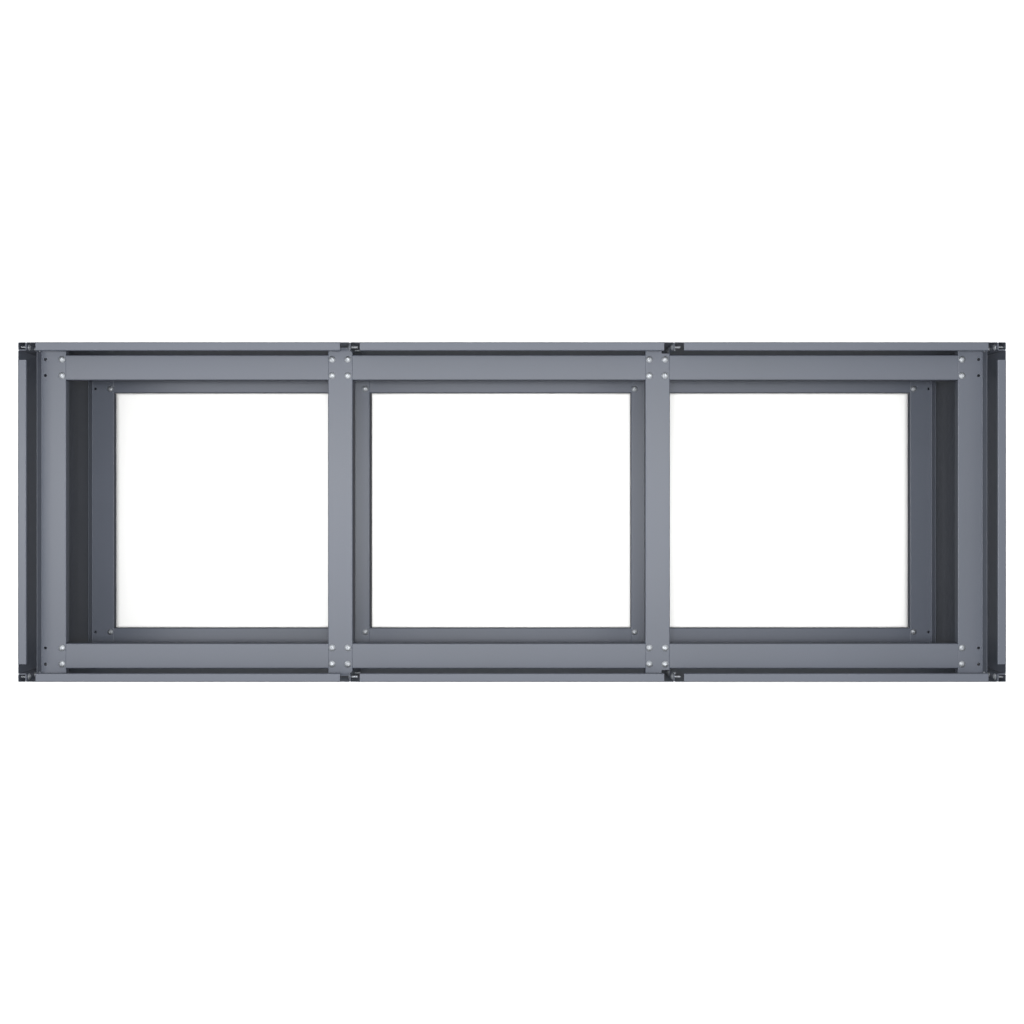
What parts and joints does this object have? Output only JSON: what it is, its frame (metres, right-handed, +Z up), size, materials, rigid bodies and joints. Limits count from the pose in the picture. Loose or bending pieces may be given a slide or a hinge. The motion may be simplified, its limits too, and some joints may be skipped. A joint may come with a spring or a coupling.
{
  "type": "cold frame",
  "caption": "Long open-topped cold frame bed: bolted tray panels of folded coated steel on corner posts, braced inside by ladder frames that divide it into bays.",
  "frame": {"origin": "on the ground, at the middle of the bed's rectangle", "axes": "+X along the bed's length towards its right end, +Y across it towards the back wall, +Z up"},
  "size_m": [2.326, 0.8, 0.62],
  "materials": {
    "powder_coated_steel": "anthracite powder coat, satin, on folded steel sheet",
    "zinc_plated_bolts": "bright zinc plate on turned and rolled steel"
  },
  "bodies": {
    "root": {"front_panel_left": "powder_coated_steel", "front_panel_middle": "powder_coated_steel", "front_panel_right": "powder_coated_steel", "back_panel_left": "powder_coated_steel", "back_panel_middle": "powder_coated_steel", "back_panel_right": "powder_coated_steel", "end_panel_left": "powder_coated_steel", "end_panel_right": "powder_coated_steel", "corner_post_front_left": "powder_coated_steel", "corner_post_front_right": "powder_coated_steel", "corner_post_back_left": "powder_coated_steel", "corner_post_back_right": "powder_coated_steel", "upper_member_end_left": "powder_coated_steel", "upper_member_end_right": "powder_coated_steel", "upper_member_middle_left": "powder_coated_steel", "upper_member_middle_right": "powder_coated_steel", "lower_member_end_left": "powder_coated_steel", "lower_member_end_right": "powder_coated_steel", "lower_member_middle_left": "powder_coated_steel", "lower_member_middle_right": "powder_coated_steel", "upper_rail_front_left": "powder_coated_steel", "upper_rail_front_middle": "powder_coated_steel", "upper_rail_front_right": "powder_coated_steel", "upper_rail_back_left": "powder_coated_steel", "upper_rail_back_middle": "powder_coated_steel", "upper_rail_back_right": "powder_coated_steel", "lower_rail_front_left": "powder_coated_steel", "lower_rail_front_middle": "powder_coated_steel", "lower_rail_front_right": "powder_coated_steel", "lower_rail_back_left": "powder_coated_steel", "lower_rail_back_middle": "powder_coated_steel", "lower_rail_back_right": "powder_coated_steel", "joint_bolt_front_left_base": "zinc_plated_bolts", "joint_bolt_front_left_lower": "zinc_plated_bolts", "joint_bolt_front_left_upper": "zinc_plated_bolts", "joint_bolt_front_left_rim": "zinc_plated_bolts", "joint_bolt_front_right_base": "zinc_plated_bolts", "joint_bolt_front_right_lower": "zinc_plated_bolts", "joint_bolt_front_right_upper": "zinc_plated_bolts", "joint_bolt_front_right_rim": "zinc_plated_bolts", "joint_bolt_back_left_base": "zinc_plated_bolts", "joint_bolt_back_left_lower": "zinc_plated_bolts", "joint_bolt_back_left_upper": "zinc_plated_bolts", "joint_bolt_back_left_rim": "zinc_plated_bolts", "joint_bolt_back_right_base": "zinc_plated_bolts", "joint_bolt_back_right_lower": "zinc_plated_bolts", "joint_bolt_back_right_upper": "zinc_plated_bolts", "joint_bolt_back_right_rim": "zinc_plated_bolts", "corner_bolt_front_left_lower": "zinc_plated_bolts", "corner_bolt_front_left_upper": "zinc_plated_bolts", "corner_bolt_front_left_rim": "zinc_plated_bolts", "corner_bolt_front_right_lower": "zinc_plated_bolts", "corner_bolt_front_right_upper": "zinc_plated_bolts", "corner_bolt_front_right_rim": "zinc_plated_bolts", "corner_bolt_back_left_lower": "zinc_plated_bolts", "corner_bolt_back_left_upper": "zinc_plated_bolts", "corner_bolt_back_left_rim": "zinc_plated_bolts", "corner_bolt_back_right_lower": "zinc_plated_bolts", "corner_bolt_back_right_upper": "zinc_plated_bolts", "corner_bolt_back_right_rim": "zinc_plated_bolts"}
  },
  "joints": []
}
